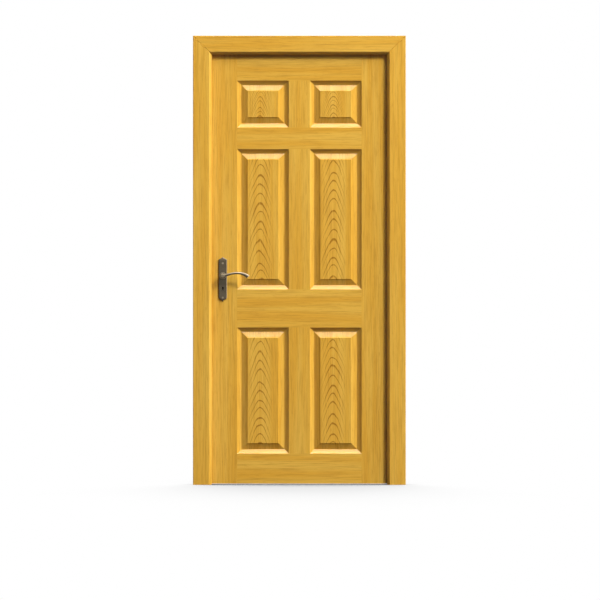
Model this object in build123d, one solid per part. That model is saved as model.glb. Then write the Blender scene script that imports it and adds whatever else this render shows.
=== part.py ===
from build123d import *
import os
from math import cos, radians, sin, tan

# Six-panel timber door, hung in its rebated frame with casings on both wall faces.
# Millimetres. X to the right, Y away from the viewer, Z up.
# Origin: wall face of the hinge jamb (right hand), floor level, middle of the jamb's depth.

# Leaf
leaf_width = 838.0
leaf_height = 2032.0
leaf_thickness = 40.0
floor_gap = 4.0
edge_gap = 5.5
stop_gap = 5.0
lock_edge_angle = 3.0

# Face widths of the leaf's members, measured to the line where the moulded edge starts
stile_width = 125.0
muntin_width = 100.0
top_rail_height = 127.0
frieze_rail_height = 102.0
lock_rail_height = 180.0
bottom_rail_height = 142.0
top_opening = 222.0
bottom_opening = 596.0

# Moulded edge round each panel, and the panel in its groove
moulding_width = 20.0
moulding_quirk = 1.2
moulding_depth = 14.0
moulding_hollow = 1.1
groove_depth = 10.0
groove_width = 10.0
panel_play = 0.25
panel_bevel_width = 26.0
panel_bevel_top = 4.0
panel_step_width = 3.0
panel_field_drop = 0.5

# Frame
jamb_depth = 56.0
jamb_back = 22.0
stop_cover = 5.0

# Casings
casing_width = 88.0
casing_thickness = 15.0
casing_chamfer = 12.0
casing_round = 3.0
casing_mitre_ease = 1.5
back_reveal = 10.0

# Butt hinges
hinge_height = 100.0
hinge_plate = 2.5
hinge_reach = 32.0
hinge_axis_out = 6.0
hinge_knuckles = 5
hinge_play = 0.4
pin_play = 0.1
pin_head = 2.0
pin_head_inset = 0.5
top_hinge_drop = 175.0
bottom_hinge_rise = 225.0

# Lever set
lock_backset = 57.0
lever_height = 986.0
keyhole_drop = 57.0
plate_width = 40.5
plate_above = 91.0
plate_below = 122.0
plate_point_top = 19.0
plate_point_bottom = 22.0
plate_thickness = 7.0
plate_bevel = 3.0
collar_radius = 17.0
collar_height = 4.0
collar_taper = 2.0
collar_rim = 2.0
collar_sink = 2.5
neck_radius = 9.0
neck_play = 0.3
neck_stand = 6.0
neck_inset = 0.5
waist_radius = 7.8
waist_back = 16.0
hub_radius = 10.5
hub_back = 7.0
hub_front = 4.0
hub_crown = 3.5
hub_crown_radius = 7.5
lever_out = 42.0
lever_length = 120.0
lever_rise = 13.0
grip_depth = 11.0
grip_slim_height = 10.5
grip_end_height = 18.0
spindle_side = 8.0
spindle_bore = 10.0
spindle_reach = 20.0
keyhole_radius = 5.0
keyhole_slot = 5.0
keyhole_length = 12.0

# Mortice lock: faceplate, bolts and case, and the strike plate opposite
faceplate_width = 22.0
faceplate_height = 160.0
faceplate_thickness = 3.0
faceplate_drop = 22.0
latch_rise = 20.0
latch_height = 18.0
latch_width = 12.0
dead_bolt_height = 24.0
dead_bolt_width = 12.0
bolt_length = 24.0
case_height = 140.0
case_depth = 78.0
case_thickness = 16.0
case_keyway = 4.0
strike_width = 26.0
strike_height = 150.0
strike_thickness = 2.0
strike_pocket = 12.0
strike_play = 1.5

# Shape of the plate's points: where each curve leaves the side and where it turns to the
# tip, as shares of the point's height and of half the plate's width
point_shoulder = 0.58
point_throat_height = 0.44
point_throat_width = 0.27

# Line of the grip from the hub to its end, as shares of the lever's length and rise,
# and the share of that line at which the grip is slimmest
grip_line = [(0.0, 0.0), (0.34, 0.72), (0.57, 1.0), (0.8, 0.7), (1.0, -0.4)]
grip_slim_at = 0.4
grip_stations = 8

# Lines that follow from the sizes above
rebate = edge_gap + stop_cover
x_rebate_h = -jamb_back
x_stop_h = x_rebate_h - rebate
x_leaf_h = x_rebate_h - edge_gap
x_leaf_l = x_leaf_h - leaf_width
x_rebate_l = x_leaf_l - edge_gap
x_stop_l = x_rebate_l + rebate
x_wall_l = x_rebate_l - jamb_back
x_mid = (x_leaf_h + x_leaf_l) / 2

y_jamb_f = -jamb_depth / 2
y_jamb_b = jamb_depth / 2
y_leaf_b = y_jamb_b
y_leaf_f = y_leaf_b - leaf_thickness
y_leaf_mid = (y_leaf_f + y_leaf_b) / 2
y_stop = y_leaf_f - stop_gap
y_casing_f = y_jamb_f - casing_thickness
y_casing_b = y_jamb_b + casing_thickness

z_leaf = floor_gap
z_leaf_top = floor_gap + leaf_height
z_stop = z_leaf_top - stop_cover
z_rebate = z_stop + rebate
z_jamb_top = z_rebate + jamb_back

# Panel openings, edge line to edge line
x_left = (x_leaf_l + stile_width, x_mid - muntin_width / 2)
x_right = (x_mid + muntin_width / 2, x_leaf_h - stile_width)
z_bottom_lo = z_leaf + bottom_rail_height
z_bottom_hi = z_bottom_lo + bottom_opening
z_middle_lo = z_bottom_hi + lock_rail_height
z_top_hi = z_leaf_top - top_rail_height
z_top_lo = z_top_hi - top_opening
z_middle_hi = z_top_lo - frieze_rail_height
rows = {
    "bottom": (z_bottom_lo, z_bottom_hi),
    "middle": (z_middle_lo, z_middle_hi),
    "top": (z_top_lo, z_top_hi),
}
columns = {"left": x_left, "right": x_right}

parts = {}


def box(x0, x1, y0, y1, z0, z1):
    middle = Pos((x0 + x1) / 2, (y0 + y1) / 2, (z0 + z1) / 2)
    return middle * Box(abs(x1 - x0), abs(y1 - y0), abs(z1 - z0))


def prism(outline, along):
    return extrude(make_face(outline), amount=along.length, dir=along.normalized())


def slab_xz(points, y0, y1):
    ring = Polyline([(x, y0, z) for x, z in points], close=True)
    return prism(ring, Vector(0, y1 - y0, 0))


def moulding_outline(place):
    """Section of the moulded edge; place turns (across, depth) into a point."""
    w, q, d = moulding_width, moulding_quirk, moulding_depth
    t = leaf_thickness
    lip = (t - groove_width) / 2
    chord = Vector(w, d - q).normalized()
    sag = Vector(-chord.Y, chord.X) * moulding_hollow
    half = Vector(w / 2, (q + d) / 2) + sag
    ends = [(w, d), (w, lip), (w - groove_depth, lip), (w - groove_depth, t - lip)]
    ends += [(w, t - lip), (w, t - d)]
    return (
        Line(place(0, t - q), place(0, q))
        + ThreePointArc(place(0, q), place(half.X, half.Y), place(w, d))
        + Polyline([place(u, v) for u, v in ends])
        + ThreePointArc(place(w, t - d), place(half.X, t - half.Y), place(0, t - q))
    )


def moulded_edge(side, xs, zs):
    """One mitred length of moulded edge on the given side of an opening."""
    x0, x1 = xs
    z0, z1 = zs
    s = moulding_width
    corners = {
        "left": [(x0, z0), (x0 + s, z0 + s), (x0 + s, z1 - s), (x0, z1)],
        "right": [(x1, z0), (x1 - s, z0 + s), (x1 - s, z1 - s), (x1, z1)],
        "bottom": [(x0, z0), (x0 + s, z0 + s), (x1 - s, z0 + s), (x1, z0)],
        "top": [(x0, z1), (x0 + s, z1 - s), (x1 - s, z1 - s), (x1, z1)],
    }
    places = {
        "left": lambda u, v: (x0 + u, y_leaf_f + v, z0),
        "right": lambda u, v: (x1 - u, y_leaf_f + v, z0),
        "bottom": lambda u, v: (x0, y_leaf_f + v, z0 + u),
        "top": lambda u, v: (x0, y_leaf_f + v, z1 - u),
    }
    upright = side in ("left", "right")
    run = Vector(0, 0, z1 - z0) if upright else Vector(x1 - x0, 0, 0)
    length = prism(moulding_outline(places[side]), run)
    return length & slab_xz(corners[side], y_leaf_f - 1, y_leaf_b + 1)


def member(bar, edges):
    """A stile, rail or muntin: its plain bar with the moulded edges run along it."""
    solid = bar
    for side, xs, zs in edges:
        solid = solid + moulded_edge(side, xs, zs)
    return solid


# Stiles, with the lock edge planed to its closing bevel
lock_lean = leaf_thickness * tan(radians(lock_edge_angle))
lock_plan = [
    (x_leaf_l + lock_lean, y_leaf_f, z_leaf),
    (x_left[0], y_leaf_f, z_leaf),
    (x_left[0], y_leaf_b, z_leaf),
    (x_leaf_l, y_leaf_b, z_leaf),
]
lock_bar = prism(Polyline(lock_plan, close=True), Vector(0, 0, leaf_height))
lock_stile = member(lock_bar, [("left", x_left, zs) for zs in rows.values()])
hinge_bar = box(x_right[1], x_leaf_h, y_leaf_f, y_leaf_b, z_leaf, z_leaf_top)
hinge_stile = member(hinge_bar, [("right", x_right, zs) for zs in rows.values()])

# Rails between the stiles
rail_ends = (x_left[0], x_right[1])
rails = {
    "bottom_rail": (z_leaf, z_bottom_lo, None, "bottom"),
    "lock_rail": (z_bottom_hi, z_middle_lo, "bottom", "middle"),
    "frieze_rail": (z_middle_hi, z_top_lo, "middle", "top"),
    "top_rail": (z_top_hi, z_leaf_top, "top", None),
}
for name, (z0, z1, below, above) in rails.items():
    edges = []
    for xs in columns.values():
        if above:
            edges.append(("bottom", xs, rows[above]))
        if below:
            edges.append(("top", xs, rows[below]))
    bar = box(rail_ends[0], rail_ends[1], y_leaf_f, y_leaf_b, z0, z1)
    parts[name] = member(bar, edges)

# Muntins between the rails
for row, zs in rows.items():
    bar = box(x_left[1], x_right[0], y_leaf_f, y_leaf_b, zs[0], zs[1])
    parts[row + "_muntin"] = member(bar, [("right", x_left, zs), ("left", x_right, zs)])


def panel_outline(lo, hi, place):
    """Section of a raised panel, both faces; place turns (across, depth) into a point."""
    t = leaf_thickness
    tongue = (t - groove_width) / 2 + panel_play
    edge = moulding_width - groove_depth + panel_play
    sight = moulding_width
    step = sight + panel_bevel_width
    field = step + panel_step_width
    half = [
        (lo + edge, tongue),
        (lo + sight, tongue),
        (lo + step, panel_bevel_top),
        (lo + field, panel_field_drop),
        (hi - field, panel_field_drop),
        (hi - step, panel_bevel_top),
        (hi - sight, tongue),
        (hi - edge, tongue),
    ]
    other = [(u, t - v) for u, v in reversed(half)]
    return Polyline([place(u, v) for u, v in half + other], close=True)


def raised_panel(xs, zs):
    across = panel_outline(*xs, lambda u, v: (u, y_leaf_f + v, zs[0]))
    upward = panel_outline(*zs, lambda u, v: (xs[0], y_leaf_f + v, u))
    tall = prism(across, Vector(0, 0, zs[1] - zs[0]))
    wide = prism(upward, Vector(xs[1] - xs[0], 0, 0))
    return tall & wide


for row, zs in rows.items():
    for side, xs in columns.items():
        parts[f"{row}_{side}_panel"] = raised_panel(xs, zs)

# Jambs and head, each rebated for the leaf
hinge_jamb = box(x_stop_h, 0, y_jamb_f, y_stop, 0, z_jamb_top)
hinge_jamb += box(x_rebate_h, 0, y_stop, y_jamb_b, 0, z_jamb_top)
lock_jamb = box(x_wall_l, x_stop_l, y_jamb_f, y_stop, 0, z_jamb_top)
lock_jamb += box(x_wall_l, x_rebate_l, y_stop, y_jamb_b, 0, z_jamb_top)
head_jamb = box(x_stop_l, x_stop_h, y_jamb_f, y_stop, z_stop, z_jamb_top)
head_jamb += box(x_rebate_l, x_rebate_h, y_stop, y_jamb_b, z_rebate, z_jamb_top)
parts["head_jamb"] = head_jamb


def casing_outline(width, place):
    """Flat casing section: chamfered inner edge, rounded outer edge; depth from the wall."""
    t, c, r = casing_thickness, casing_chamfer, casing_round
    bow = r * (1 - cos(radians(45)))
    flat = [(width, t - r), (width, 0), (0, 0), (0, t - c), (c, t), (width - r, t)]
    rounding = ThreePointArc(
        place(width - r, t), place(width - bow, t - bow), place(width, t - r)
    )
    return Polyline([place(u, v) for u, v in flat]) + rounding


def casing_set(x0, x1, z_in, width, y_wall, outward):
    """Two legs and a head, mitred; x0, x1 and z_in are the inner edges."""
    z_out = z_in + width
    y_near = y_wall - outward
    y_far = y_wall + outward * (casing_thickness + 1)

    def depth(v):
        return y_wall + outward * v

    def leg(x_in, side):
        x_out = x_in + side * width
        section = casing_outline(width, lambda u, v: (x_in + side * u, depth(v), 0))
        corners = [(x_in, 0), (x_in, z_in), (x_out, z_out), (x_out, 0)]
        return prism(section, Vector(0, 0, z_out)) & slab_xz(corners, y_near, y_far)

    section = casing_outline(width, lambda u, v: (x0 - width, depth(v), z_in + u))
    corners = [(x0, z_in), (x1, z_in), (x1 + width, z_out), (x0 - width, z_out)]
    run = Vector(x1 - x0 + 2 * width, 0, 0)
    head = prism(section, run) & slab_xz(corners, y_near, y_far)
    return leg(x0, -1), head, leg(x1, 1)


def mitre_line(x_in, z_in, lean, y_face):
    """Shallow V along one mitre on the show face; lean is the way it runs in X."""
    side = casing_mitre_ease * 2**0.5
    line = Plane(origin=(x_in, y_face, z_in), x_dir=(lean, 0, 1), z_dir=(0, -1, 0))
    return line * Rot(45, 0, 0) * Box(4 * casing_width, side, side)


front = casing_set(x_stop_l, x_stop_h, z_stop, casing_width, y_jamb_f, -1)
back_width = casing_width - rebate - back_reveal
back = casing_set(
    x_rebate_l - back_reveal,
    x_rebate_h + back_reveal,
    z_rebate + back_reveal,
    back_width,
    y_jamb_b,
    1,
)
for place, solids, face, inset in (
    ("front", front, y_casing_f, 0),
    ("back", back, y_casing_b, rebate + back_reveal),
):
    left_line = mitre_line(x_stop_l - inset, z_stop + inset, -1, face)
    right_line = mitre_line(x_stop_h + inset, z_stop + inset, 1, face)
    left, head, right = solids
    parts[f"{place}_left_casing"] = left - left_line
    parts[f"{place}_head_casing"] = head - left_line - right_line
    parts[f"{place}_right_casing"] = right - right_line

# Butt hinges: plates let in flush, knuckles behind the leaf, a pin through each set
x_pin = (x_rebate_h + x_leaf_h) / 2
y_pin = y_leaf_b + hinge_axis_out
knuckle_radius = edge_gap / 2 + hinge_plate
pin_radius = edge_gap / 2
y_plate = y_leaf_b - hinge_reach
hinge_levels = {
    "top": z_leaf_top - top_hinge_drop,
    "bottom": z_leaf + bottom_hinge_rise,
}
hinge_levels["middle"] = (hinge_levels["top"] + hinge_levels["bottom"]) / 2


def hinge_half(z_mid, x0, x1, turn):
    """Plate from x0 to x1 with its share of the knuckles; turn 0 is the outer set."""
    z0 = z_mid - hinge_height / 2
    pitch = (hinge_height + hinge_play) / hinge_knuckles
    solid = box(x0, x1, y_plate, y_leaf_b, z0, z0 + hinge_height)
    for n in range(turn, hinge_knuckles, 2):
        low = z0 + n * pitch
        high = low + pitch - hinge_play
        roll = Pos(x_pin, y_pin, (low + high) / 2) * Cylinder(knuckle_radius, high - low)
        solid = solid + box(x0, x1, y_leaf_b, y_pin, low, high) + roll
    bore = Pos(x_pin, y_pin, z_mid) * Cylinder(pin_radius + pin_play, 2 * hinge_height)
    return solid - bore


for level, z_mid in hinge_levels.items():
    z0, z1 = z_mid - hinge_height / 2, z_mid + hinge_height / 2
    parts[f"{level}_hinge_frame_half"] = hinge_half(z_mid, x_rebate_h, x_rebate_h + hinge_plate, 0)
    parts[f"{level}_hinge_leaf_half"] = hinge_half(z_mid, x_leaf_h - hinge_plate, x_leaf_h, 1)
    pin = Pos(x_pin, y_pin, z_mid) * Cylinder(pin_radius, hinge_height)
    for end, z_cap in ((-1, z0 - pin_head / 2), (1, z1 + pin_head / 2)):
        pin += Pos(x_pin, y_pin, z_cap) * Cylinder(knuckle_radius - pin_head_inset, pin_head)
    parts[f"{level}_hinge_pin"] = pin
    hinge_jamb -= box(x_rebate_h, x_rebate_h + hinge_plate, y_plate, y_jamb_b, z0, z1)
    hinge_stile -= box(x_leaf_h - hinge_plate, x_leaf_h, y_plate, y_leaf_b, z0, z1)
parts["hinge_jamb"] = hinge_jamb
parts["hinge_stile"] = hinge_stile

# Lever set: long plates with pointed ends, levers on one square spindle
x_lever = x_leaf_l + lock_backset
z_lever = lever_height
z_key = z_lever - keyhole_drop


def keyhole(y0, y1):
    turn = Pos(x_lever, (y0 + y1) / 2, z_key) * Rot(90, 0, 0)
    hole = turn * Cylinder(keyhole_radius, abs(y1 - y0))
    half = keyhole_slot / 2
    return hole + box(x_lever - half, x_lever + half, y0, y1, z_key - keyhole_length, z_key)


def plate_outline(y):
    w = plate_width / 2

    def at(u, v):
        return (x_lever + u, y, z_lever + v)

    def half_point(side, tip, height):
        """Curve from the plate's side to the tip; height runs from the tip to the side."""
        return Bezier(
            at(side * w, tip - height),
            at(side * w, tip - height * (1 - point_shoulder)),
            at(side * w * point_throat_width, tip - height * (1 - point_throat_height)),
            at(0, tip),
        )

    line = Line(at(w, plate_point_bottom - plate_below), at(w, plate_above - plate_point_top))
    line += half_point(1, plate_above, plate_point_top)
    line += half_point(-1, plate_above, plate_point_top)
    line += Line(at(-w, plate_above - plate_point_top), at(-w, plate_point_bottom - plate_below))
    line += half_point(-1, -plate_below, -plate_point_bottom)
    line += half_point(1, -plate_below, -plate_point_bottom)
    return line


def front_plate():
    y_face = y_leaf_f - plate_thickness
    plate = prism(plate_outline(y_leaf_f), Vector(0, -plate_thickness, 0))
    rim = plate.faces().sort_by(Axis.Y)[0].edges()
    plate = chamfer(rim, plate_bevel)
    turn = Pos(x_lever, y_face - collar_height / 2, z_lever) * Rot(90, 0, 0)
    collar = turn * Cone(collar_radius, collar_radius - collar_taper, collar_height)
    dish_radius = collar_radius - collar_taper - collar_rim
    dish = turn * Pos(0, 0, (collar_height - collar_sink) / 2) * Cylinder(dish_radius, collar_sink)
    bore = turn * Cylinder(neck_radius + neck_play, 2 * (plate_thickness + collar_height))
    return plate + collar - dish - bore - keyhole(y_leaf_f + 1, y_face - 1)


def lever_arm():
    """The grip: oval sections along an arched line, slim in the middle, blunt at the end."""
    y = y_leaf_f - lever_out
    line = Spline([(x_lever + u * lever_length, y, z_lever + v * lever_rise) for u, v in grip_line])
    ovals = []
    for n in range(grip_stations):
        share = n / (grip_stations - 1)
        swell = ((share - grip_slim_at) / (1 - grip_slim_at)) ** 2
        height = grip_slim_height + (grip_end_height - grip_slim_height) * swell
        across = Plane(origin=line @ share, x_dir=(0, 1, 0), z_dir=line % share)
        ovals.append(across * Ellipse(grip_depth / 2, height / 2))
    return loft(ovals)


def front_lever():
    profile = [
        (0, neck_inset),
        (neck_radius, neck_inset),
        (neck_radius, plate_thickness + collar_height + neck_stand),
        (waist_radius, lever_out - waist_back),
        (hub_radius, lever_out - hub_back),
        (hub_radius, lever_out + hub_front),
        (hub_crown_radius, lever_out + hub_front + hub_crown),
        (0, lever_out + hub_front + hub_crown),
    ]
    ring = Polyline([(x_lever + r, y_leaf_f - d, z_lever) for r, d in profile], close=True)
    hub = revolve(make_face(ring), Axis((x_lever, y_leaf_f, z_lever), (0, 1, 0)), 360)
    return hub + lever_arm() - spindle


spindle_length = leaf_thickness + 2 * spindle_reach
spindle = Pos(x_lever, y_leaf_mid, z_lever) * Box(spindle_side, spindle_length, spindle_side)
parts["spindle"] = spindle
mid_plane = Plane(origin=(0, y_leaf_mid, 0), x_dir=(1, 0, 0), z_dir=(0, 1, 0))
plate_solid = front_plate()
lever_solid = front_lever()
parts["front_backplate"] = plate_solid
parts["front_lever"] = lever_solid
parts["back_backplate"] = mirror(plate_solid, about=mid_plane)
parts["back_lever"] = mirror(lever_solid, about=mid_plane)

# Lock faceplate with latch and dead bolt, both drawn back flush, in the planed edge
lean = radians(lock_edge_angle)
edge_plane = Plane(
    origin=(x_leaf_l + lock_lean / 2, y_leaf_mid, 0),
    x_dir=(sin(lean), -cos(lean), 0),
    z_dir=(-cos(lean), -sin(lean), 0),
)
z_face = z_lever - faceplate_drop
z_latch = z_lever + latch_rise


def in_edge(width, height, depth, z_mid):
    block = Box(width, height, depth, align=(Align.CENTER, Align.CENTER, Align.MAX))
    return edge_plane * Pos(0, z_mid, 0) * block


latch_bolt = in_edge(latch_width, latch_height, bolt_length, z_latch)
dead_bolt = in_edge(dead_bolt_width, dead_bolt_height, bolt_length, z_key)
faceplate = in_edge(faceplate_width, faceplate_height, faceplate_thickness, z_face)
spindle_hole = Cylinder(spindle_bore, 2 * leaf_thickness)
spindle_hole = Pos(x_lever, y_leaf_mid, z_lever) * Rot(90, 0, 0) * spindle_hole
bolts = latch_bolt + dead_bolt

# The case starts inside the faceplate's thickness, so it meets the faceplate's back
x_case = x_leaf_l + (lock_lean + faceplate_thickness) / 2
y_case_f = y_leaf_mid - case_thickness / 2
y_case_b = y_leaf_mid + case_thickness / 2
case = box(
    x_case,
    x_case + case_depth,
    y_case_f,
    y_case_b,
    z_face - case_height / 2,
    z_face + case_height / 2,
)
front_keyway = keyhole(y_case_f - 1, y_case_f + case_keyway)
back_keyway = keyhole(y_case_b - case_keyway, y_case_b + 1)
parts["lock_stile"] = (
    lock_stile - faceplate - bolts - case - spindle_hole - keyhole(y_leaf_f - 1, y_leaf_b + 1)
)
parts["lock_case"] = case - faceplate - bolts - spindle_hole - front_keyway - back_keyway
parts["lock_faceplate"] = faceplate - bolts
parts["latch_bolt"] = latch_bolt
parts["dead_bolt"] = dead_bolt

# Strike plate let into the lock jamb, with a pocket behind each opening
strike = box(
    x_rebate_l - strike_thickness,
    x_rebate_l,
    y_leaf_mid - strike_width / 2,
    y_leaf_mid + strike_width / 2,
    z_face - strike_height / 2,
    z_face + strike_height / 2,
)
lock_jamb -= strike
for z_mid, tall, wide in (
    (z_latch, latch_height, latch_width),
    (z_key, dead_bolt_height, dead_bolt_width),
):
    pocket = box(
        x_rebate_l - strike_thickness - strike_pocket,
        x_rebate_l + 1,
        y_leaf_mid - wide / 2 - strike_play,
        y_leaf_mid + wide / 2 + strike_play,
        z_mid - tall / 2 - strike_play,
        z_mid + tall / 2 + strike_play,
    )
    strike -= pocket
    lock_jamb -= pocket
parts["strike_plate"] = strike
parts["lock_jamb"] = lock_jamb

os.makedirs("parts", exist_ok=True)
for name, solid in parts.items():
    export_step(solid, f"parts/{name}.step")
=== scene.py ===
"""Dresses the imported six-panel door: varnished pine, blackened iron lever set, satin steel
hinges and lock, the screws that hold them, and a plain white studio stage."""

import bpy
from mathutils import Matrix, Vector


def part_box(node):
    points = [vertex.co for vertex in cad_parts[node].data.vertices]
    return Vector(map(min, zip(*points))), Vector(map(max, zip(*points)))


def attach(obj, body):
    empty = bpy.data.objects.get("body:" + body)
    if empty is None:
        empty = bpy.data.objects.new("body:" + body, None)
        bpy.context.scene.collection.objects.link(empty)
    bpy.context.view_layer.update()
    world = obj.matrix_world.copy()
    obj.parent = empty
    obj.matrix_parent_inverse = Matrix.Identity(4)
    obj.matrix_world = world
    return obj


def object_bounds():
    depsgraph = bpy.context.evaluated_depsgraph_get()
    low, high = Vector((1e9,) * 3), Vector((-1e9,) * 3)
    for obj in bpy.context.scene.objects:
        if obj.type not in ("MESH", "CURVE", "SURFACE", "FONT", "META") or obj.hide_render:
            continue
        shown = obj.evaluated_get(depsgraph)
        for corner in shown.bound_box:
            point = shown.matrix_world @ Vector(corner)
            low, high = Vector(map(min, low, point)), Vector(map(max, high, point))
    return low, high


bl_info = {
    "name": "Six-panel door",
    "version": (1, 0, 0),
    "blender": (4, 5, 0),
    "location": "View3D > Sidebar > Door",
    "description": "Varnish, fittings, screws and studio stage for a six-panel door in its frame",
    "category": "Object",
}

from math import cos, radians, sin, tan

import bpy
from bpy.props import FloatProperty, FloatVectorProperty, PointerProperty
from mathutils import Euler, Vector

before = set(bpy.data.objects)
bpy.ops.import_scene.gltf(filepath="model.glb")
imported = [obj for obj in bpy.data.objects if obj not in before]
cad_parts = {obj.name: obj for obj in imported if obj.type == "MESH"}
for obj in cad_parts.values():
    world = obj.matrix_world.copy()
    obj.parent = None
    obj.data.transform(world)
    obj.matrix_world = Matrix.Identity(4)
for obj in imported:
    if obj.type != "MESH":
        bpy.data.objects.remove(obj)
cad_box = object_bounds()

MM = 0.001
LEVELS = ("top", "middle", "bottom")
COLUMNS = ("left", "right")
FACES = ("front", "back")
UPRIGHT_FRAME = ["hinge_jamb", "lock_jamb"]
UPRIGHT_FRAME += [f"{face}_{side}_casing" for face in FACES for side in COLUMNS]
LEVEL_FRAME = ["head_jamb"] + [f"{face}_head_casing" for face in FACES]
UPRIGHT_LEAF = ["lock_stile", "hinge_stile"] + [f"{level}_muntin" for level in LEVELS]
LEVEL_LEAF = ["top_rail", "frieze_rail", "lock_rail", "bottom_rail"]


def middle_of(node):
    """Middle of a CAD node's box."""
    low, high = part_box(node)
    return (low + high) / 2


# The spindle's middle lies on the lever's axis and in the middle plane of the leaf
LEVER_AXIS = middle_of("spindle")

# How boards were sawn, in millimetres: the heart of the tree lies this far off the board's middle
# (across, and in the depth as varnished_pine draws it), the rings narrow by taper along the board,
# a year's ring is this wide, and the lines show within reach of the heart, by contrast. The first
# board has the first seed, and the second is added for each next board.
# Frame and leaf are rift-sawn, so their rings run nearly straight. Panels are flat-sawn, with the
# heart before the face and just left of the middle, so their rings show as arches.
CUTS = {
    "frame": dict(heart=(130, 160), taper=0.012, ring=15, reach=2000, contrast=0.1, seeds=(10, 1)),
    "leaf": dict(heart=(170, 150), taper=0.012, ring=17, reach=2000, contrast=0.1, seeds=(40, 1)),
    "panel": dict(heart=(3, 29), taper=0.27, ring=12, reach=80, contrast=0.8, seeds=(70.3, 3.7)),
}
CUTS["small_panel"] = dict(CUTS["panel"], ring=5.5)
# Off the leaf's middle plane, from the last of a panel's bevel to just under its field
BEVEL_END = 15.5 * MM
FIELD_START = 19 * MM

# Where hands wear the black off the lever set, and where a highlight is painted on it: what is measured,
# how and against what, its value at the heart of the place, how far from that the iron is at its palest,
# and where the blacking is whole. The hub and collar are wear; the lever's upward faces, the plate's
# right edge and its upper point are painted highlights, paler because light falls there
ACROSS = Vector((1, 0, 0))
UP = Vector((0, 0, 1))
HUB = Vector((LEVER_AXIS.x, 0, LEVER_AXIS.z))
WEAR_AND_SHEEN_PLACES = {
    # Painted highlight: the lever's upward faces are paler, as if lit from above
    "top": ("Normal", "DOT_PRODUCT", UP, 1.0, 0.3, 1.0),
    "hub": ("Object", "DISTANCE", HUB, 0.0, 10 * MM, 11 * MM),
    "collar": ("Object", "DISTANCE", HUB, 14.2 * MM, 1.2 * MM, 1.8 * MM),
    # Painted highlight: a pale strip along the plate's right edge only, where light falls
    "edge": ("Object", "DOT_PRODUCT", ACROSS, HUB.x + 20.5 * MM, 2.5 * MM, 4 * MM),
    # Painted highlight: the plate's upper point is paler, as if it caught the light
    "point": ("Object", "DOT_PRODUCT", UP, HUB.z + 91 * MM, 1 * MM, 25 * MM),
}


def linear(code):
    """Linear red, green, blue and alpha of an sRGB hex colour such as #D9A03C."""
    shares = [int(code[i : i + 2], 16) / 255 for i in (1, 3, 5)]
    return [c / 12.92 if c <= 0.04045 else ((c + 0.055) / 1.055) ** 2.4 for c in shares] + [1.0]


def colour(name, description, code):
    return FloatVectorProperty(
        name=name, description=description, subtype="COLOR", size=4, min=0, max=1, default=linear(code)
    )


def length(name, description, millimetres):
    return FloatProperty(
        name=name, description=description, unit="LENGTH", min=0, precision=4, default=millimetres * MM
    )


def power(name, description, watts):
    return FloatProperty(name=name, description=description, unit="POWER", min=0, default=watts)


def factor(name, description, share):
    return FloatProperty(
        name=name, description=description, subtype="FACTOR", min=0, max=1, default=share
    )


class DoorTimber(bpy.types.PropertyGroup):
    """Colours and grain sizes of the varnished pine."""

    pale: colour("Pale wood", "Early wood under the varnish", "#DFAF46")
    gold: colour("Golden wood", "Warmer bands along the board", "#D9A235")
    late: colour("Late wood", "Dark line that ends each year's ring", "#8F5506")
    pore: colour("Pores", "Short dark dashes along the grain", "#A66912")
    band: length("Band width", "Width of the slow colour bands across a board", 38)
    fibre: length("Fibre width", "Width of the fine streaks, drawn coarse enough to show", 5)
    dash: length("Pore length", "Length of the short dark dashes", 30)
    wander: length("Ring wander", "How far a ring strays from its true line", 20)
    coat: factor("Varnish", "Weight of the clear coat", 0.2)
    gloss: factor("Varnish roughness", "Roughness of the satin coat", 0.12)


class DoorFittings(bpy.types.PropertyGroup):
    """Colours of the metals and sizes of the screws."""

    iron: colour("Blackened iron", "Blacking in the hollows of the casting", "#261F14")
    # Also the colour of the painted highlights on the lever's top and the plate's right edge and point
    rubbed_and_sheen: colour("Rubbed iron", "Metal where hands have worn the black off", "#9A8D76")
    wax: colour("Wax", "Tint that the wax gives to the iron's shine", "#F2E4C8")
    enamel: colour("Black enamel", "Case of the lock", "#12100E")
    steel: colour("Satin steel", "Hinges, lock and strike plate", "#B4B1AA")
    screw_radius: length("Screw head radius", "Radius of every screw head", 4)
    screw_crown: length("Screw crown", "Height of the crowned head over the plate", 1.2)
    screw_slot: length("Screw slot", "Width of the driver's slot", 1.2)
    plate_thickness: length("Plate thickness", "Thickness of the lever's backplate", 7)
    screw_above: length("Upper screw", "Plate screw above the lever's axis", 60)
    screw_below: length("Lower screw", "Plate screw below the lever's axis", 103)
    hinge_plate: length("Hinge plate", "Thickness of a hinge plate", 2.5)
    hinge_reach: length("Hinge reach", "Width of a hinge plate", 32)
    lock_edge: FloatProperty(
        name="Lock edge", description="Lean of the leaf's lock edge", subtype="ANGLE", default=radians(3)
    )


class DoorStage(bpy.types.PropertyGroup):
    """Camera, lamps and floor."""

    distance: length("Camera distance", "From the front of the door", 14000)
    height: length("Camera height", "Above the floor", 872)
    shift: length("Camera offset", "Right of the middle of the door", 3)
    frame_width: length("Frame width", "What the picture spans at the front of the door", 2826)
    lamp_distance: length("Lamp distance", "From the middle of the door to all lamps but one", 16000)
    box_size: length("Soft box side", "Side of each square soft box", 15000)
    box_power: power("Soft box power", "Main light, and as much on the other side", 4450)
    sun_size: length("Sun lamp side", "Side of the small square lamp", 1600)
    sun_power: power("Sun lamp power", "Light that gives the shadows an edge", 1500)
    strip_width: length("Strip width", "Width of the strip overhead", 2000)
    strip_length: length("Strip length", "Length of the strip overhead", 13600)
    strip_power: power("Strip power", "Glints on what faces up", 1900)
    side_distance: length("Side strip distance", "From the middle of the door to the side strip", 8000)
    side_width: length("Side strip width", "Width of the strip at the side", 1200)
    side_length: length("Side strip length", "Height of the strip at the side", 5800)
    side_power: power("Side strip power", "Glints on what faces right", 50)
    ambient: colour("Room light", "Even light from the studio's walls", "#3A3A3A")
    floor: colour("Floor", "Light that the floor throws back on the door", "#2C2C2C")
    floor_size: length("Floor side", "Side of the square floor", 40000)
    shade_reach: length("Shade reach", "How far off a piece still shades the floor", 2600)


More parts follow.
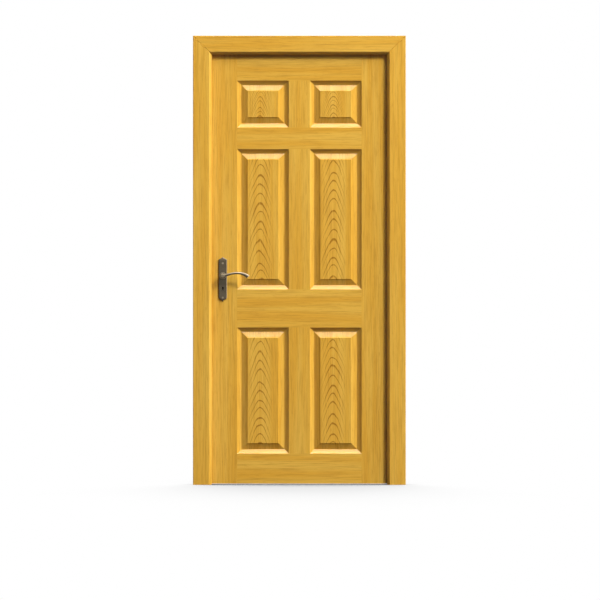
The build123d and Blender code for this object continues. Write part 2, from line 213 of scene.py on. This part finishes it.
def add(tree, kind, inputs=None, **settings):
    """Adds a node: settings are its own options, inputs are values or sockets linked in."""
    node = tree.nodes.new(kind)
    for key, value in settings.items():
        setattr(node, key, value)
    for key, value in (inputs or {}).items():
        if isinstance(value, bpy.types.NodeSocket):
            tree.links.new(value, node.inputs[key])
        else:
            node.inputs[key].default_value = value
    return node


def blank_material(name):
    """A material without nodes, and its node tree."""
    material = bpy.data.materials.new(name)
    material.use_nodes = True
    material.node_tree.nodes.clear()
    return material, material.node_tree


def dress(piece, material):
    piece.data.materials.clear()
    piece.data.materials.append(material)


def varnished_pine(board, level, count, cut):
    """Pine, planed and brushed with satin varnish: golden, with dark late-wood lines, slow
    bands of tone and short pores, all running along the board, which lies level or stands. The
    grain is that of a tree: rings about a heart line, cut through as the board was sawn."""
    timber = bpy.context.scene.door_timber
    material, tree = blank_material(f"varnished_pine_{board}")
    first_seed, seed_step = cut["seeds"]
    seed = first_seed + seed_step * count
    reach = cut["reach"] * MM
    # Depth counts for little, so that the lines keep their course over a panel's bevels
    stretch = Vector((1, 0.2, 1))
    turn = Euler((0, radians(90 if level else 0), 0))
    middle = turn.to_matrix() @ (middle_of(board) * stretch)
    heart_across, heart_deep = cut["heart"]
    place = add(tree, "ShaderNodeTexCoord").outputs["Object"]
    wood = add(
        tree,
        "ShaderNodeMapping",
        {
            "Vector": place,
            "Location": Vector((heart_across * MM, heart_deep * MM, 0)) - middle,
            "Rotation": turn,
            "Scale": stretch,
        },
    ).outputs[0]

    # Noise drawn out along the board: width and length of its streaks, and detail
    streaks = {}
    for pattern, width, run, detail in (
        ("stray", 90 * MM, 260 * MM, 4.0),
        ("fibres", timber.fibre, 24 * timber.fibre, 3.0),
        ("bands", timber.band, 24 * timber.band, 2.0),
        ("dashes", 0.7 * timber.fibre, timber.dash, 2.0),
    ):
        drawn = add(
            tree,
            "ShaderNodeVectorMath",
            {0: wood, 1: (1 / width, 1 / width, 1 / run)},
            operation="MULTIPLY",
        ).outputs[0]
        streaks[pattern] = add(
            tree,
            "ShaderNodeTexNoise",
            {"Vector": drawn, "W": seed, "Scale": 1.0, "Detail": detail},
            noise_dimensions="4D",
        ).outputs
    fibres = streaks["fibres"][0]
    bands = streaks["bands"][0]
    dashes = streaks["dashes"][0]

    # Distance from the heart in rings, with a slow wander and unequal years
    strayed = add(
        tree,
        "ShaderNodeVectorMath",
        {0: streaks["stray"]["Color"], 1: [timber.wander] * 3, 2: wood},
        operation="MULTIPLY_ADD",
    ).outputs[0]
    flat = add(
        tree, "ShaderNodeVectorMath", {0: strayed, 1: (1, 1, 0)}, operation="MULTIPLY"
    ).outputs[0]
    radius = add(tree, "ShaderNodeVectorMath", {0: flat}, operation="LENGTH").outputs["Value"]
    along = add(tree, "ShaderNodeSeparateXYZ", {0: strayed}).outputs["Z"]
    grown = add(
        tree, "ShaderNodeMath", {0: along, 1: cut["taper"], 2: radius}, operation="MULTIPLY_ADD"
    ).outputs[0]
    years = add(
        tree, "ShaderNodeMath", {0: grown, 1: 1 / (cut["ring"] * MM), 2: seed}, operation="MULTIPLY_ADD"
    ).outputs[0]
    season = add(
        tree,
        "ShaderNodeTexNoise",
        {"W": years, "Scale": 0.7, "Detail": 0.0},
        noise_dimensions="1D",
    ).outputs[0]
    years = add(
        tree, "ShaderNodeMath", {0: season, 1: 0.7, 2: years}, operation="MULTIPLY_ADD"
    ).outputs[0]
    year = add(tree, "ShaderNodeMath", {0: years}, operation="FRACT").outputs[0]

    # A late-wood line ends each year; it fades away from the heart and on a panel's bevels, and
    # fine streaks break it up
    deep = add(tree, "ShaderNodeSeparateXYZ", {0: place}).outputs["Y"]
    deep = add(tree, "ShaderNodeMath", {0: deep, 1: LEVER_AXIS.y}, operation="SUBTRACT").outputs[0]
    deep = add(tree, "ShaderNodeMath", {0: deep}, operation="ABSOLUTE").outputs[0]
    line = 1.0
    for value, start, end, least in (
        (year, 0.7, 0.88, 0.0),
        (year, 1.0, 0.93, 0.0),
        (radius, reach, 0.4 * reach, 0.1),
        (fibres, 0.28, 0.56, 0.5),
        (deep, BEVEL_END, FIELD_START, 0.25),
    ):
        share = add(
            tree,
            "ShaderNodeMapRange",
            {"Value": value, "From Min": start, "From Max": end, "To Min": least},
            interpolation_type="SMOOTHSTEP",
        ).outputs[0]
        line = add(
            tree, "ShaderNodeMath", {0: share, 1: line}, operation="MULTIPLY"
        ).outputs[0]

    # Slow bands of tone, fine streaks, short pores and the year lines, laid one on another
    tone = timber.pale
    for value, start, end, most, stain in (
        (bands, 0.32, 0.68, 1.0, timber.gold),
        (fibres, 0.42, 0.72, 0.27, timber.late),
        (dashes, 0.56, 0.72, 0.22, timber.pore),
        (line, 0.0, 1.0, cut["contrast"], timber.late),
    ):
        share = add(
            tree,
            "ShaderNodeMapRange",
            {"Value": value, "From Min": start, "From Max": end, "To Max": most},
            interpolation_type="SMOOTHSTEP",
        ).outputs[0]
        tone = add(
            tree, "ShaderNodeMix", {0: share, 6: tone, 7: stain}, data_type="RGBA"
        ).outputs[2]
    satin = add(
        tree,
        "ShaderNodeMapRange",
        {"Value": fibres, "From Min": 0.3, "From Max": 0.7, "To Min": 0.5, "To Max": 0.6},
    ).outputs[0]
    relief = add(
        tree,
        "ShaderNodeBump",
        {"Strength": 0.12, "Distance": 0.3 * MM, "Height": dashes},
        invert=True,
    ).outputs[0]
    varnish = add(
        tree,
        "ShaderNodeBsdfPrincipled",
        {
            "Base Color": tone,
            "Roughness": satin,
            "Normal": relief,
            "Specular IOR Level": 0.05,
            "Coat Weight": timber.coat,
            "Coat Roughness": timber.gloss,
        },
    ).outputs[0]
    add(tree, "ShaderNodeOutputMaterial", {"Surface": varnish})
    return material


def blackened_iron(name, wear, wear_and_sheen_shares):
    """Iron, cast, blackened and waxed: near-black hollows, paler and more metallic by the share of
    wear, and the soft uneven shine of an old casting. The last argument gives the share at listed
    places: at the hub and collar it is wear, at the lever's top, the plate's right edge and its upper
    point it is a painted highlight."""
    fittings = bpy.context.scene.door_fittings
    material, tree = blank_material(name)
    coordinates = add(tree, "ShaderNodeTexCoord").outputs
    place = coordinates["Object"]
    patch_size = 26 * MM
    grit_size = 1.6 * MM
    skin = add(
        tree, "ShaderNodeTexNoise", {"Vector": place, "Scale": 1 / patch_size, "Detail": 3.0}
    ).outputs[0]
    grit = add(
        tree, "ShaderNodeTexNoise", {"Vector": place, "Scale": 1 / grit_size, "Detail": 2.0}
    ).outputs[0]
    wear_and_sheen = add(
        tree,
        "ShaderNodeMapRange",
        {
            "Value": skin,
            "From Min": 0.35,
            "From Max": 0.65,
            "To Min": 0.6 * wear,
            "To Max": 1.4 * wear,
        },
    ).outputs[0]
    # Wear at the hub and collar, and painted highlights at the lever's top, the plate's right edge and
    # its upper point
    for wear_and_sheen_place, most in wear_and_sheen_shares.items():
        source, measure, against, heart, fullest_within, gone_beyond = WEAR_AND_SHEEN_PLACES[wear_and_sheen_place]
        flat = add(
            tree,
            "ShaderNodeVectorMath",
            {0: coordinates[source], 1: ACROSS + UP},
            operation="MULTIPLY",
        ).outputs[0]
        away = add(
            tree, "ShaderNodeVectorMath", {0: flat, 1: against}, operation=measure
        ).outputs["Value"]
        away = add(tree, "ShaderNodeMath", {0: away, 1: heart}, operation="SUBTRACT").outputs[0]
        away = add(tree, "ShaderNodeMath", {0: away}, operation="ABSOLUTE").outputs[0]
        share = add(
            tree,
            "ShaderNodeMapRange",
            {"Value": away, "From Min": gone_beyond, "From Max": fullest_within, "To Max": most},
        ).outputs[0]
        wear_and_sheen = add(tree, "ShaderNodeMath", {0: wear_and_sheen, 1: share}, operation="MAXIMUM").outputs[0]
    tone = add(
        tree, "ShaderNodeMix", {0: wear_and_sheen, 6: fittings.iron, 7: fittings.rubbed_and_sheen}, data_type="RGBA"
    ).outputs[2]
    metal_share = add(tree, "ShaderNodeMapRange", {"Value": wear_and_sheen, "To Min": 0.1, "To Max": 0.8}).outputs[0]
    shine = add(
        tree, "ShaderNodeMapRange", {"Value": skin, "To Min": 0.4, "To Max": 0.26}
    ).outputs[0]
    relief = add(
        tree, "ShaderNodeBump", {"Strength": 0.1, "Distance": 0.2 * MM, "Height": grit}
    ).outputs[0]
    metal = add(
        tree,
        "ShaderNodeBsdfPrincipled",
        {
            "Base Color": tone,
            "Metallic": metal_share,
            "Roughness": shine,
            "Normal": relief,
            "Specular IOR Level": 0.8,
            "Specular Tint": fittings.wax,
        },
    ).outputs[0]
    add(tree, "ShaderNodeOutputMaterial", {"Surface": metal})
    return material


def black_enamel(name):
    """Enamel, stoved on to rough steel: black and dull, a little greyer where it lies thin."""
    fittings = bpy.context.scene.door_fittings
    material, tree = blank_material(name)
    place = add(tree, "ShaderNodeTexCoord").outputs["Object"]
    thin_spot = 4 * MM
    coat = add(
        tree, "ShaderNodeTexNoise", {"Vector": place, "Scale": 1 / thin_spot, "Detail": 2.0}
    ).outputs[0]
    thin = [2 * c for c in fittings.enamel[:3]] + [1.0]
    tone = add(
        tree, "ShaderNodeMix", {0: coat, 6: fittings.enamel, 7: thin}, data_type="RGBA"
    ).outputs[2]
    dull = add(
        tree, "ShaderNodeMapRange", {"Value": coat, "To Min": 0.55, "To Max": 0.75}
    ).outputs[0]
    paint = add(
        tree,
        "ShaderNodeBsdfPrincipled",
        {"Base Color": tone, "Roughness": dull, "Specular IOR Level": 0.2},
    ).outputs[0]
    add(tree, "ShaderNodeOutputMaterial", {"Surface": paint})
    return material


def satin_steel(name):
    """Steel, rolled and brushed up and down its length: pale grey with fine upright lines that
    draw its reflections out."""
    fittings = bpy.context.scene.door_fittings
    material, tree = blank_material(name)
    place = add(tree, "ShaderNodeTexCoord").outputs["Object"]
    # Brush lines are finer than a tenth of a millimetre; drawn at 0.8 mm so that they show
    brush_width = 0.8 * MM
    brush_length = 40 * MM
    drawn = add(
        tree,
        "ShaderNodeMapping",
        {"Vector": place, "Scale": (1 / brush_width, 1 / brush_width, 1 / brush_length)},
    ).outputs[0]
    brushed = add(
        tree, "ShaderNodeTexNoise", {"Vector": drawn, "Scale": 1.0, "Detail": 2.0}
    ).outputs[0]
    dull = [0.72 * c for c in fittings.steel[:3]] + [1.0]
    tone = add(
        tree, "ShaderNodeMix", {0: brushed, 6: dull, 7: fittings.steel}, data_type="RGBA"
    ).outputs[2]
    shine = add(
        tree, "ShaderNodeMapRange", {"Value": brushed, "To Min": 0.28, "To Max": 0.46}
    ).outputs[0]
    metal = add(
        tree,
        "ShaderNodeBsdfPrincipled",
        {"Base Color": tone, "Metallic": 1.0, "Roughness": shine},
    ).outputs[0]
    add(tree, "ShaderNodeOutputMaterial", {"Surface": metal})
    return material


class DOOR_OT_varnish_frame(bpy.types.Operator):
    """Varnish the jambs, the head and the casings"""

    bl_idname = "door.varnish_frame"
    bl_label = "Varnish frame"

    def execute(self, context):
        boards = [(name, False) for name in UPRIGHT_FRAME] + [(name, True) for name in LEVEL_FRAME]
        for count, (board, level) in enumerate(boards):
            dress(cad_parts[board], varnished_pine(board, level, count, CUTS["frame"]))
        return {"FINISHED"}


class DOOR_OT_varnish_leaf(bpy.types.Operator):
    """Varnish the stiles, rails and muntins"""

    bl_idname = "door.varnish_leaf"
    bl_label = "Varnish leaf"

    def execute(self, context):
        boards = [(name, False) for name in UPRIGHT_LEAF] + [(name, True) for name in LEVEL_LEAF]
        for count, (board, level) in enumerate(boards):
            dress(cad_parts[board], varnished_pine(board, level, count, CUTS["leaf"]))
        return {"FINISHED"}


class DOOR_OT_varnish_panels(bpy.types.Operator):
    """Varnish the six raised panels, the small ones at the top with finer rings"""

    bl_idname = "door.varnish_panels"
    bl_label = "Varnish panels"

    def execute(self, context):
        boards = [f"{level}_{side}_panel" for level in LEVELS for side in COLUMNS]
        for count, board in enumerate(boards):
            cut = CUTS["small_panel" if board.startswith("top") else "panel"]
            dress(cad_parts[board], varnished_pine(board, False, count, cut))
        return {"FINISHED"}


class DOOR_OT_blacken_lever_set(bpy.types.Operator):
    """Blacken the backplates, the levers and the lock's case"""

    bl_idname = "door.blacken_lever_set"
    bl_label = "Blacken lever set"

    def execute(self, context):
        # The plate's right edge and upper point carry a painted highlight and its collar wear; the
        # grip's upward faces carry a painted highlight and its hub wear
        plate = blackened_iron("blackened_iron", 0.12, {"collar": 0.6, "edge": 0.8, "point": 0.6})
        grip = blackened_iron("rubbed_and_sheen_iron", 0.12, {"hub": 0.5, "top": 1.0})
        for face in FACES:
            dress(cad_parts[f"{face}_backplate"], plate)
            dress(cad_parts[f"{face}_lever"], grip)
        dress(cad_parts["lock_case"], black_enamel("black_enamel"))
        return {"FINISHED"}


class DOOR_OT_brush_steel(bpy.types.Operator):
    """Brush the hinges, the lock, its strike plate and the spindle"""

    bl_idname = "door.brush_steel"
    bl_label = "Brush steel"

    def execute(self, context):
        steel = satin_steel("satin_steel")
        pieces = ["lock_faceplate", "latch_bolt", "dead_bolt", "strike_plate", "spindle"]
        for level in LEVELS:
            pieces += [f"{level}_hinge_{part}" for part in ("frame_half", "leaf_half", "pin")]
        for piece in pieces:
            dress(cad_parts[piece], steel)
        return {"FINISHED"}


def select_only(piece):
    bpy.ops.object.select_all(action="DESELECT")
    piece.select_set(True)
    bpy.context.view_layer.objects.active = piece


def turn_screw():
    """One slotted screw head at the origin, facing up: a round blank, its top drawn up into a
    low crown and a slot sawn across it. What lies below the origin sits in the metal."""
    fittings = bpy.context.scene.door_fittings
    radius = fittings.screw_radius
    crown = fittings.screw_crown
    rim = 0.3 * crown
    root = crown
    bpy.ops.object.select_all(action="DESELECT")
    bpy.ops.mesh.primitive_cylinder_add(
        vertices=32, radius=radius, depth=rim + root, location=(0, 0, (rim - root) / 2)
    )
    head = bpy.context.object
    for face in head.data.polygons:
        face.select = face.normal.z > 0.9
    bpy.ops.object.mode_set(mode="EDIT")
    for inward, rise in ((0.3, 0.45), (0.35, 0.25)):
        bpy.ops.mesh.inset(thickness=inward * radius, depth=rise * crown)
    bpy.ops.object.mode_set(mode="OBJECT")
    bpy.ops.object.transform_apply(location=True)

    # The saw's block is longer than the head, and its lower half goes down to the rim
    bpy.ops.object.select_all(action="DESELECT")
    bpy.ops.mesh.primitive_cube_add(
        size=1, location=(0, 0, crown), scale=(fittings.screw_slot, 3 * radius, 2 * (crown - rim))
    )
    saw = bpy.context.object
    select_only(head)
    bpy.ops.object.modifier_add(type="BOOLEAN")
    head.modifiers[-1].object = saw
    bpy.ops.object.modifier_apply(modifier=head.modifiers[-1].name)
    bpy.ops.object.shade_smooth_by_angle(angle=radians(35))
    select_only(saw)
    bpy.ops.object.delete()
    return head


class DOOR_OT_drive_screws(bpy.types.Operator):
    """Drive slotted screws into the backplates, hinges, lock and strike plate"""

    bl_idname = "door.drive_screws"
    bl_label = "Drive screws"

    def execute(self, context):
        fittings = context.scene.door_fittings
        iron = blackened_iron("bright_iron", 0.7, {})
        steel = bpy.data.materials["satin_steel"]
        head = turn_screw()
        self.count = 0

        for face, toward in (("front", -1), ("back", 1)):
            low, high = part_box(f"{face}_backplate")
            y = (high.y if toward < 0 else low.y) + toward * fittings.plate_thickness
            for row, z in (("upper", fittings.screw_above), ("lower", -fittings.screw_below)):
                name = f"{face}_{row}_plate_screw"
                seat = (LEVER_AXIS.x, y, LEVER_AXIS.z + z)
                self.drive(head, name, seat, (0, toward, 0), "leaf", iron, "handle_iron")

        # Countersunk screws stand only a little proud, so that the hinge can shut on them
        sunk = 0.7 * fittings.screw_crown
        rows = 4
        zigzag = (0.68, 0.32)
        for level in LEVELS:
            for half, toward, body in (("frame", -1, "frame"), ("leaf", 1, "leaf")):
                low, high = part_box(f"{level}_hinge_{half}_half")
                x = (high.x if toward < 0 else low.x) + toward * (fittings.hinge_plate - sunk)
                for row in range(rows):
                    y = low.y + fittings.hinge_reach * zigzag[row % 2]
                    z = low.z + (high.z - low.z) * (row + 0.5) / rows
                    name = f"{level}_hinge_{half}_screw_{row + 1}"
                    self.drive(head, name, (x, y, z), (toward, 0, 0), body, steel, "hinge_metal")

        # The lock's two plates have a screw near each end
        from_end = 0.12
        lean = fittings.lock_edge
        stile_low, stile_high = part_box("lock_stile")
        low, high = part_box("lock_faceplate")
        middle = (low + high) / 2
        x = stile_low.x + (stile_high.y - middle.y) * tan(lean) + sunk
        for row, z in (("upper", high.z), ("lower", low.z)):
            seat = (x, middle.y, z + (middle.z - z) * from_end)
            facing = (-cos(lean), -sin(lean), 0)
            self.drive(head, f"faceplate_{row}_screw", seat, facing, "leaf", steel, "lock_steel")

        low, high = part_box("strike_plate")
        middle = (low + high) / 2
        for row, z in (("upper", high.z), ("lower", low.z)):
            seat = (high.x - sunk, middle.y, z + (middle.z - z) * from_end)
            self.drive(head, f"strike_{row}_screw", seat, (1, 0, 0), "frame", steel, "lock_steel")

        select_only(head)
        bpy.ops.object.delete()
        return {"FINISHED"}

    def drive(self, head, name, seat, facing, body, metal, finish):
        """A copy of the screw head on its seat, its slot turned on from that of the last one."""
        select_only(head)
        bpy.ops.object.duplicate()
        screw = bpy.context.object
        screw.name = name
        self.count += 1
        slot_turn = Euler((0, 0, radians(47 * self.count))).to_quaternion()
        square = Vector(facing).to_track_quat("Z", "Y")
        screw.rotation_euler = (square @ slot_turn).to_euler()
        screw.location = seat
        bpy.ops.object.transform_apply(location=True, rotation=True)
        dress(screw, metal)
        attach(screw, body)


def seen_by_eye(tree):
    """1 for what the camera, a reflection or a clear piece sees, 0 for light on the door."""
    rays = add(tree, "ShaderNodeLightPath").outputs
    seen = rays["Is Camera Ray"]
    for other in ("Is Glossy Ray", "Is Transmission Ray"):
        seen = add(
            tree, "ShaderNodeMath", {0: seen, 1: rays[other]}, operation="MAXIMUM"
        ).outputs[0]
    return seen


def painted_floor(name):
    """Floor: to the eye a white glow with a painted shadow round the door's foot, darker where
    ambient occlusion finds the door near, and to the door a dark matt paint, so that it throws little
    light back."""
    stage = bpy.context.scene.door_stage
    material, tree = blank_material(name)
    # The occlusion leans back a little, so that the painted shade falls more before the door than behind
    # it
    lean = add(tree, "ShaderNodeCombineXYZ", {"Y": 0.3, "Z": 0.95}).outputs[0]
    open_sky = add(
        tree,
        "ShaderNodeAmbientOcclusion",
        {"Distance": stage.shade_reach, "Normal": lean},
        samples=16,
    ).outputs["AO"]
    # A faint wide painted shadow, and a dark one painted in the gap under the leaf
    shade = 1.0
    for start, end, least in ((0.6, 0.87, 0.84), (0.3, 0.45, 0.03)):
        share = add(
            tree,
            "ShaderNodeMapRange",
            {"Value": open_sky, "From Min": start, "From Max": end, "To Min": least},
        ).outputs[0]
        shade = add(tree, "ShaderNodeMath", {0: share, 1: shade}, operation="MULTIPLY").outputs[0]
    glow = add(tree, "ShaderNodeEmission", {"Strength": shade}).outputs[0]
    paint = add(tree, "ShaderNodeBsdfDiffuse", {"Color": stage.floor}).outputs[0]
    both = add(tree, "ShaderNodeMixShader", {0: seen_by_eye(tree), 1: paint, 2: glow}).outputs[0]
    add(tree, "ShaderNodeOutputMaterial", {"Surface": both})
    return material


class DOOR_OT_set_stage(bpy.types.Operator):
    """Lay the floor, light the door and set the camera"""

    bl_idname = "door.set_stage"
    bl_label = "Set stage"

    def execute(self, context):
        stage = context.scene.door_stage
        low, high = cad_box
        middle = (Vector(low) + Vector(high)) / 2

        bpy.ops.object.select_all(action="DESELECT")
        bpy.ops.mesh.primitive_plane_add(size=stage.floor_size, location=(middle.x, 0, 0))
        floor = context.object
        floor.name = "studio_floor"
        dress(floor, painted_floor("painted_floor"))

        # A soft box and a small lamp, above and to the right, model the mouldings. A strip overhead
        # and one at the side glint in the varnish, and the one overhead does only that. A second
        # soft box lights the other side of the door.
        far = stage.lamp_distance
        box = (stage.box_size, stage.box_size)
        sun = (stage.sun_size, stage.sun_size)
        strip = (stage.strip_width, stage.strip_length)
        side_strip = (stage.side_width, stage.side_length)
        for name, toward, distance, size, watts, lights_matt in (
            ("soft_box", (1.25, -1.05, 1.7), far, box, stage.box_power, True),
            ("sun_lamp", (1.0, -1.0, 1.2), far, sun, stage.sun_power, True),
            ("strip", (0, -0.4, 0.92), far, strip, stage.strip_power, False),
            ("side_strip", (1.0, -0.12, 0.05), stage.side_distance, side_strip, stage.side_power, True),
            ("back_box", (-1.35, 1.0, 1.7), far, box, stage.box_power, True),
        ):
            toward = Vector(toward).normalized()
            bpy.ops.object.light_add(type="AREA", location=middle + distance * toward)
            lamp = context.object
            lamp.name = name
            lamp.rotation_euler = toward.to_track_quat("Z", "Y").to_euler()
            lamp.data.shape = "RECTANGLE"
            lamp.data.size, lamp.data.size_y = size
            lamp.data.energy = watts
            lamp.visible_diffuse = lights_matt

        world = bpy.data.worlds.new("white_studio")
        context.scene.world = world
        world.use_nodes = True
        tree = world.node_tree
        tree.nodes.clear()
        light = add(
            tree,
            "ShaderNodeMix",
            {0: seen_by_eye(tree), 6: stage.ambient, 7: (1, 1, 1, 1)},
            data_type="RGBA",
        ).outputs[2]
        wall = add(tree, "ShaderNodeBackground", {"Color": light}).outputs[0]
        add(tree, "ShaderNodeOutputWorld", {"Surface": wall})

        place = (middle.x + stage.shift, low[1] - stage.distance, stage.height)
        bpy.ops.object.camera_add(location=place, rotation=(radians(90), 0, 0))
        camera = context.object
        camera.name = "door_camera"
        camera.data.sensor_width = 36
        camera.data.lens = camera.data.sensor_width * stage.distance / stage.frame_width
        context.scene.camera = camera
        context.scene.view_settings.view_transform = "Standard"
        return {"FINISHED"}


class DOOR_PT_sidebar(bpy.types.Panel):
    """Lists the door's steps and the values that they use"""

    bl_label = "Six-panel door"
    bl_idname = "DOOR_PT_sidebar"
    bl_space_type = "VIEW_3D"
    bl_region_type = "UI"
    bl_category = "Door"

    def draw(self, context):
        for operator in OPERATORS:
            self.layout.operator(operator.bl_idname)
        for group_name, group in GROUPS.items():
            box = self.layout.box()
            for name in group.__annotations__:
                box.prop(getattr(context.scene, group_name), name)


GROUPS = {"door_timber": DoorTimber, "door_fittings": DoorFittings, "door_stage": DoorStage}
OPERATORS = (
    DOOR_OT_varnish_frame,
    DOOR_OT_varnish_leaf,
    DOOR_OT_varnish_panels,
    DOOR_OT_blacken_lever_set,
    DOOR_OT_brush_steel,
    DOOR_OT_drive_screws,
    DOOR_OT_set_stage,
)


def register():
    for name, group in GROUPS.items():
        bpy.utils.register_class(group)
        setattr(bpy.types.Scene, name, PointerProperty(type=group))
    for operator in OPERATORS:
        bpy.utils.register_class(operator)
    bpy.utils.register_class(DOOR_PT_sidebar)


def unregister():
    bpy.utils.unregister_class(DOOR_PT_sidebar)
    for operator in reversed(OPERATORS):
        bpy.utils.unregister_class(operator)
    for name, group in GROUPS.items():
        delattr(bpy.types.Scene, name)
        bpy.utils.unregister_class(group)


def main():
    register()
    bpy.ops.door.varnish_frame()
    bpy.ops.door.varnish_leaf()
    bpy.ops.door.varnish_panels()
    bpy.ops.door.blacken_lever_set()
    bpy.ops.door.brush_steel()
    bpy.ops.door.drive_screws()
    bpy.ops.door.set_stage()


if __name__ == "__main__":
    main()
